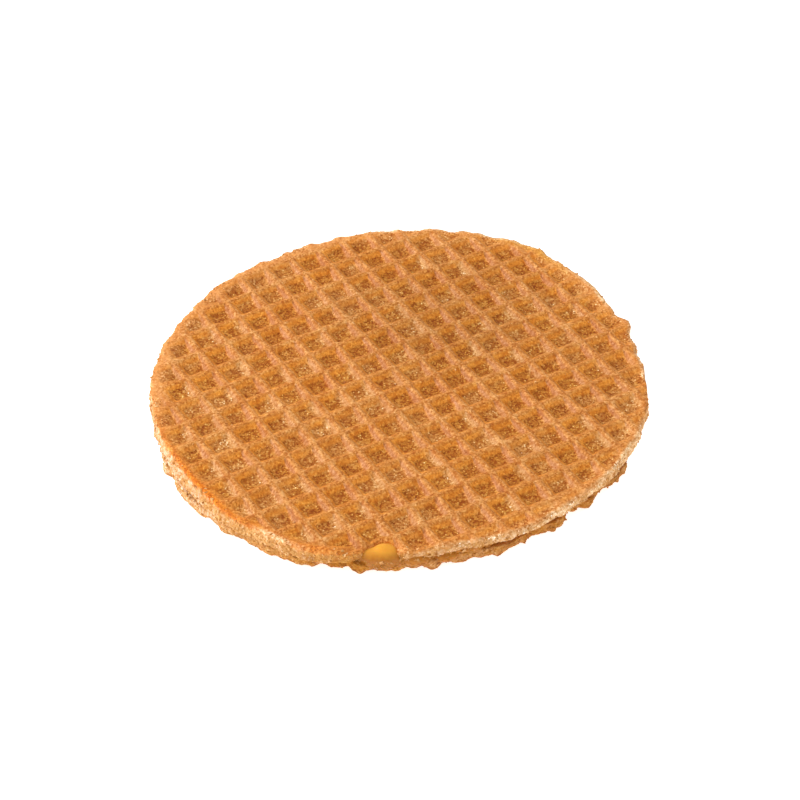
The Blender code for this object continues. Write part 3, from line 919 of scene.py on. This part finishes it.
def buildScatterTree():
    tree = bpy.data.node_groups.new("scatterBits", "GeometryNodeTree")
    addSockets(
        tree, "INPUT", Geometry=("Blank",), Object=("Upper", "Lower", "Caramel", "Filling"),
        Float=("Side Density", "Rim Density", "Rim Width", "Gathered", "Face Density", "Caramel Density",
               "Smallest", "Largest", "Flatness", "Sink"),
        Int=("Corners", "Seed"), Material=("Material",),
    )
    addSockets(tree, "OUTPUT", Geometry=("Bits",))
    product, total = chained(tree, "MULTIPLY"), chained(tree, "ADD")
    given = tree.nodes.new("NodeGroupInput").outputs

    def attribute(name):
        return addNode(tree, "GeometryNodeInputNamedAttribute", {"Name": name}, data_type="FLOAT").outputs[0]

    def randomValue(kind, low, high, offset):
        node = tree.nodes.new("FunctionNodeRandomValue")
        node.data_type = kind
        for socket in node.inputs:
            if socket.enabled and socket.name in ("Min", "Max"):
                value = low if socket.name == "Min" else high
                if isinstance(value, bpy.types.NodeSocket):
                    tree.links.new(value, socket)
                else:
                    socket.default_value = value
        tree.links.new(total(given["Seed"], float(offset)), node.inputs["Seed"])
        return next(socket for socket in node.outputs if socket.enabled)

    def scatter(thing, density, offset):
        ground = addNode(tree, "GeometryNodeObjectInfo", {"Object": thing}).outputs["Geometry"]
        inputs = {"Mesh": ground, "Density": density, "Seed": total(given["Seed"], float(offset))}
        node = addNode(tree, "GeometryNodeDistributePointsOnFaces", inputs, distribute_method="RANDOM")
        sunk = scaled(tree, node.outputs["Normal"], product(given["Sink"], -1.0))
        inputs = {"Geometry": node.outputs["Points"], "Offset": sunk}
        return addNode(tree, "GeometryNodeSetPosition", inputs).outputs[0]

    # on the wafers' cut sides, on their faces and more so near the rim, and on the caramel at the rim
    inset, down = attribute("inset"), attribute("down")
    onSide = product(calc(tree, "GREATER_THAN", down, 0.02), calc(tree, "LESS_THAN", down, 1.5))
    onFace = calc(tree, "LESS_THAN", down, 0.001)
    gathered = total(product(attribute("crumbly"), given["Gathered"]), 1.0)
    side = product(onSide, given["Side Density"], gathered)
    rim = product(ramp(tree, inset, 0.0, given["Rim Width"], 1.0, 0.0), given["Rim Density"], gathered)
    wafers = total(side, product(onFace, total(rim, given["Face Density"])))
    height = split(tree, addNode(tree, "GeometryNodeInputPosition").outputs[0])["Z"]
    facing = split(tree, addNode(tree, "GeometryNodeInputNormal").outputs[0])["Z"]
    atFoot = calc(tree, "LESS_THAN", height, footHeight)
    atEdge = calc(tree, "LESS_THAN", calc(tree, "ABSOLUTE", facing), levelFrom)
    points = addNode(tree, "GeometryNodeJoinGeometry")
    for part in (scatter(given["Upper"], wafers, 0), scatter(given["Lower"], wafers, 1),
                 scatter(given["Caramel"], product(given["Caramel Density"], atFoot), 2),
                 scatter(given["Filling"], product(given["Caramel Density"], atEdge), 8)):
        tree.links.new(part, points.inputs[0])

    # a few angular shapes, then one of them on each point, turned and stretched at random
    shapes = addNode(tree, "GeometryNodeJoinGeometry")
    for number in range(shapeCount):
        dots = addNode(tree, "GeometryNodeMeshLine", {"Count": given["Corners"]}).outputs[0]
        spread = randomValue("FLOAT_VECTOR", (-1.0, -1.0, -1.0), (1.0, 1.0, 1.0), 10 + number)
        distance = randomValue("FLOAT", 0.35, 0.5, 20 + number)
        spread = scaled(tree, vectorCalc(tree, "NORMALIZE", spread), distance)
        dots = addNode(tree, "GeometryNodeSetPosition", {"Geometry": dots, "Position": spread}).outputs[0]
        hull = addNode(tree, "GeometryNodeConvexHull", {"Geometry": dots}).outputs[0]
        one = addNode(tree, "GeometryNodeGeometryToInstance", {"Geometry": hull}).outputs[0]
        tree.links.new(one, shapes.inputs[0])

    pick = calc(tree, "FLOOR", randomValue("FLOAT", 0.0, shapeCount - 0.001, 3))
    turn = randomValue("FLOAT_VECTOR", (-3.14, -3.14, -3.14), (3.14, 3.14, 3.14), 4)
    small = calc(tree, "POWER", randomValue("FLOAT", 0.0, 1.0, 5), 2.0)
    size = ramp(tree, small, 0.0, 1.0, given["Smallest"], given["Largest"], smooth=False)
    wide = randomValue("FLOAT_VECTOR", (0.7, 0.7, 0.0), (1.3, 1.3, 0.0), 6)
    flat = addNode(tree, "ShaderNodeCombineXYZ", {"Z": given["Flatness"]}).outputs[0]
    stretch = scaled(tree, vectorCalc(tree, "ADD", wide, flat), size)
    inputs = {"Points": points.outputs[0], "Instance": shapes.outputs[0], "Pick Instance": True,
              "Instance Index": pick, "Rotation": turn, "Scale": stretch}
    placed = addNode(tree, "GeometryNodeInstanceOnPoints", inputs).outputs[0]
    inputs = {"Geometry": placed, "Name": "tone", "Value": randomValue("FLOAT", 0.0, 1.0, 7)}
    placed = addNode(tree, "GeometryNodeStoreNamedAttribute", inputs, data_type="FLOAT",
                     domain="INSTANCE").outputs[0]
    finishTree(tree, placed, given["Material"])
    return tree


def bitsMaterial(bits):
    material, tree, shader = newMaterial(bits["name"], bits["roughness"], bits["specular"])
    tone = addNode(tree, "ShaderNodeAttribute", attribute_name="tone").outputs["Fac"]
    place = addNode(tree, "ShaderNodeTexCoord").outputs["Object"]
    first, second, third = bits["colours"]
    colour = mixColour(tree, ramp(tree, tone, 0.15, 0.60), first, second)
    colour = mixColour(tree, ramp(tree, tone, 0.72, 0.92), colour, third)
    blotches = ramp(tree, noise(tree, place, bits["blotchSize"], 2.0, 0.6, 2.0), 0.35, 0.65, 0.85, 1.10)
    colour = scaled(tree, colour, blotches)
    if "soaked" in bits:
        at = split(tree, place)
        low = ramp(tree, at["Z"], *bits["soakedBelow"], 0.80, 0.0)
        wet = calc(tree, "MULTIPLY", low, ramp(tree, at["X"], *bits["soakedRightOf"]))
        colour = mixColour(tree, wet, colour, bits["soaked"])
    tree.links.new(colour, shader.inputs["Base Color"])
    return material


rimCrumbs = {
    "name": "rimCrumbs",
    "colours": ((0.82, 0.48, 0.20), (0.68, 0.34, 0.10), (0.45, 0.17, 0.03)),
    "blotchSize": 0.0004,
    "soaked": (0.43, 0.150, 0.016),  # the caramel has soaked those low down on the right
    "soakedBelow": (0.0028, 0.0040),
    "soakedRightOf": (-0.020, -0.008),
    "roughness": 0.7,
    "specular": 0.2,
    "sideDensity": 9.0e5,  # bits on a square metre
    "rimDensity": 3.0e5,
    "rimWidth": 0.0016,
    "gathered": 2.5,  # how many more lie on the crumbly stretches
    "faceDensity": 2.0e3,
    "caramelDensity": 3.5e6,
    "smallest": 0.00035,
    "largest": 0.00100,
    "flatness": 0.7,
    "sink": 0.00006,
    "corners": 11,
    "seed": 21,
}
sugarGrains = {
    "name": "sugarGrains",
    "colours": ((0.86, 0.47, 0.12), (0.78, 0.36, 0.06), (0.90, 0.57, 0.22)),
    "blotchSize": 0.0004,
    "roughness": 0.5,
    "specular": 0.2,
    "sideDensity": 1.0e5,
    "rimDensity": 0.0,
    "rimWidth": 0.001,
    "gathered": 0.0,
    "faceDensity": 6.0e5,
    "caramelDensity": 0.0,
    "smallest": 0.00014,
    "largest": 0.00032,
    "flatness": 0.8,
    "sink": 0.00002,
    "corners": 9,
    "seed": 45,
}


def scatterBits(bits, tree):
    thing = newObject(bits["name"], bpy.data.meshes.new(bits["name"]))
    ground = {"upper": upper, "lower": lower, "caramel": squeeze, "filling": layer}
    shapeByNodes(thing, tree, dict(bits, **ground, material=bitsMaterial(bits)))
    keepInside(thing)
    return thing


scatterTree = buildScatterTree()
crumbs = scatterBits(rimCrumbs, scatterTree)
sugar = scatterBits(sugarGrains, scatterTree)
print("bits scattered:", len(crumbs.data.polygons), len(sugar.data.polygons), "faces")


# the frame's bodies

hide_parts("wafer_top")
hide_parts("wafer_bottom")
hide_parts("syrup")
slots = (
    (upper, "wafer_top"), (lower, "wafer_bottom"), (layer, "syrup"), (squeeze, "syrup"),
    (crumbs, "wafer_top"), (sugar, "wafer_top"),
)
for piece, slotName in slots:
    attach(piece, "root")


# floor, light and camera

studio = {
    "floorSize": 3.0,
    "floorColour": (0.90, 0.90, 0.90),
    "floorDarker": (0.891, 0.891, 0.891),
    "floorPatches": 0.2,
    "floorGlow": 0.75,
    "skyStrength": 0.76,
    "keyPower": 4.6,
    "keyPlace": (-0.62, 0.10, 0.42),
    "keySize": 0.40,
}


def makeFloor():
    bm = bmesh.new()
    bmesh.ops.create_grid(bm, x_segments=12, y_segments=12, size=studio["floorSize"] / 2)
    mesh = bpy.data.meshes.new("floor")
    bm.to_mesh(mesh)
    bm.free()
    floor = newObject("floor", mesh)
    material, tree, shader = newMaterial("paperFloor", 0.9, 0.1)
    place = addNode(tree, "ShaderNodeTexCoord").outputs["Object"]
    tone = noise(tree, place, studio["floorPatches"])
    colour = mixColour(tree, tone, studio["floorColour"], studio["floorDarker"])
    tree.links.new(colour, shader.inputs["Base Color"])
    shader.inputs["Emission Color"].default_value = (1.0, 1.0, 1.0, 1.0)
    shader.inputs["Emission Strength"].default_value = studio["floorGlow"]
    mesh.materials.append(material)


def makeLight():
    world = bpy.data.worlds.new("studioSky")
    bpy.context.scene.world = world
    world.use_nodes = True
    sky = world.node_tree.nodes["Background"]
    sky.inputs["Color"].default_value = (1.0, 1.0, 1.0, 1.0)
    sky.inputs["Strength"].default_value = studio["skyStrength"]
    lamp = bpy.data.lights.new("softbox", "AREA")
    lamp.shape = "DISK"
    lamp.size = studio["keySize"]
    lamp.energy = studio["keyPower"]
    thing = newObject("softbox", lamp)
    thing.location = studio["keyPlace"]
    thing.rotation_euler = (-Vector(studio["keyPlace"])).to_track_quat("-Z", "Y").to_euler()


viewpoint = {
    "aim": (-0.00048, -0.00659),  # from the upper disc's centre
    "distance": 0.4553,
    "elevation": 40.28,
    "roll": -0.92,
    "lens": 104.085,
}


def makeCamera():
    data = bpy.data.cameras.new("viewCamera")
    data.sensor_width = 36.0
    data.lens = viewpoint["lens"]
    data.clip_start = 0.01
    camera = newObject("viewCamera", data)
    rise = math.radians(viewpoint["elevation"])
    aim = topCentre + Vector(viewpoint["aim"])
    back = Vector((0.0, -math.cos(rise), math.sin(rise))) * viewpoint["distance"]
    camera.location = Vector((aim.x, aim.y, topHigh.z)) + back
    roll = Matrix.Rotation(math.radians(viewpoint["roll"]), 3, "Z")
    camera.rotation_euler = (Matrix.Rotation(math.pi / 2 - rise, 3, "X") @ roll).to_euler()
    bpy.context.scene.camera = camera


makeFloor()
makeLight()
makeCamera()
bpy.context.scene.view_settings.view_transform = "Standard"
print("studio set")

bpy.context.view_layer.update()
